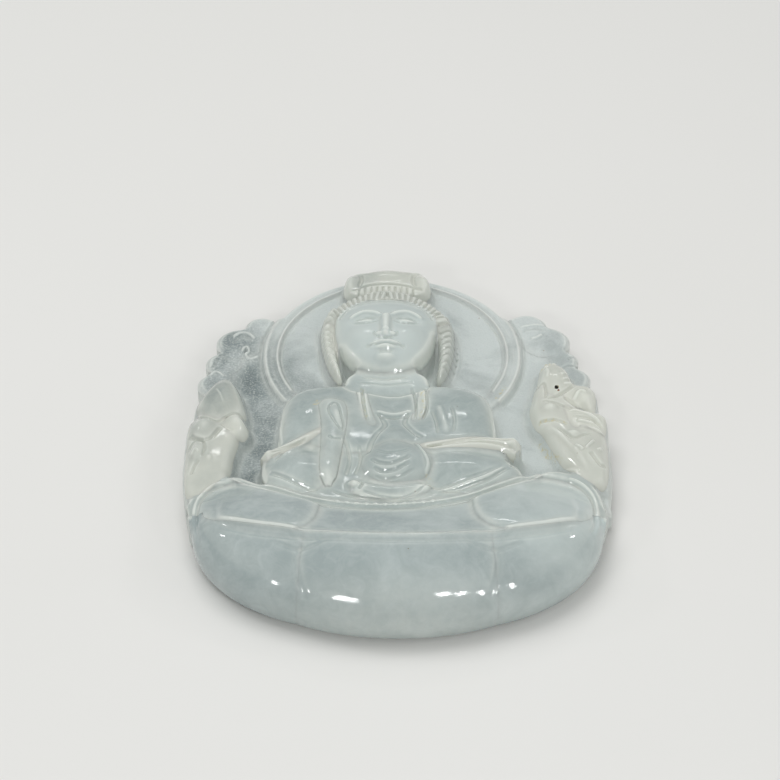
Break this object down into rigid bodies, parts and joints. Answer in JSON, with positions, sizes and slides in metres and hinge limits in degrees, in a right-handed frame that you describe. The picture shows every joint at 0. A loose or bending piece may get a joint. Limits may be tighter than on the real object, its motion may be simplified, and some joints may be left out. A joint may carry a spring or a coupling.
{
  "type": "jade figurine",
  "caption": "Pale icy jade relief plaque: seated crowned figure with halo on a lotus throne, between small attendants and cloud borders, with a flat back to rest on.",
  "frame": {"origin": "middle of the overall outline, on the flat back", "axes": "+Z out of the carved face, +Y from the throne's front edge to the crown, +X to the viewer's right"},
  "size_m": [0.049, 0.0614, 0.0091],
  "materials": {
    "ground_jade": "matte",
    "pale_jade": "polished",
    "jade": "polished",
    "throne_jade": "polished"
  },
  "bodies": {
    "root": {"back_plaque": "ground_jade", "halo_field": "ground_jade", "halo_ring": "ground_jade", "left_clouds": "ground_jade", "right_clouds": "ground_jade", "left_attendant_head": "pale_jade", "left_attendant_hands": "pale_jade", "left_attendant_robe": "pale_jade", "right_attendant_head": "pale_jade", "right_attendant_scarf": "pale_jade", "right_attendant_sleeve": "pale_jade", "right_attendant_robe": "pale_jade", "lower_petal_left": "throne_jade", "lower_petal_centre": "throne_jade", "lower_petal_right": "throne_jade", "upper_petal_left": "throne_jade", "upper_petal_centre": "throne_jade", "upper_petal_right": "throne_jade", "left_throne_side": "jade", "right_throne_side": "jade", "seat_hem": "jade", "left_knee": "jade", "right_knee": "jade", "robe_lap": "jade", "torso": "jade", "collar": "jade", "neck": "jade", "left_cuff": "pale_jade", "right_cuff": "pale_jade", "raised_hand": "jade", "lap_hand": "jade", "crossed_foot": "jade", "face": "jade", "left_hair": "pale_jade", "right_hair": "pale_jade", "hair_band": "pale_jade", "crown": "pale_jade"}
  },
  "joints": []
}
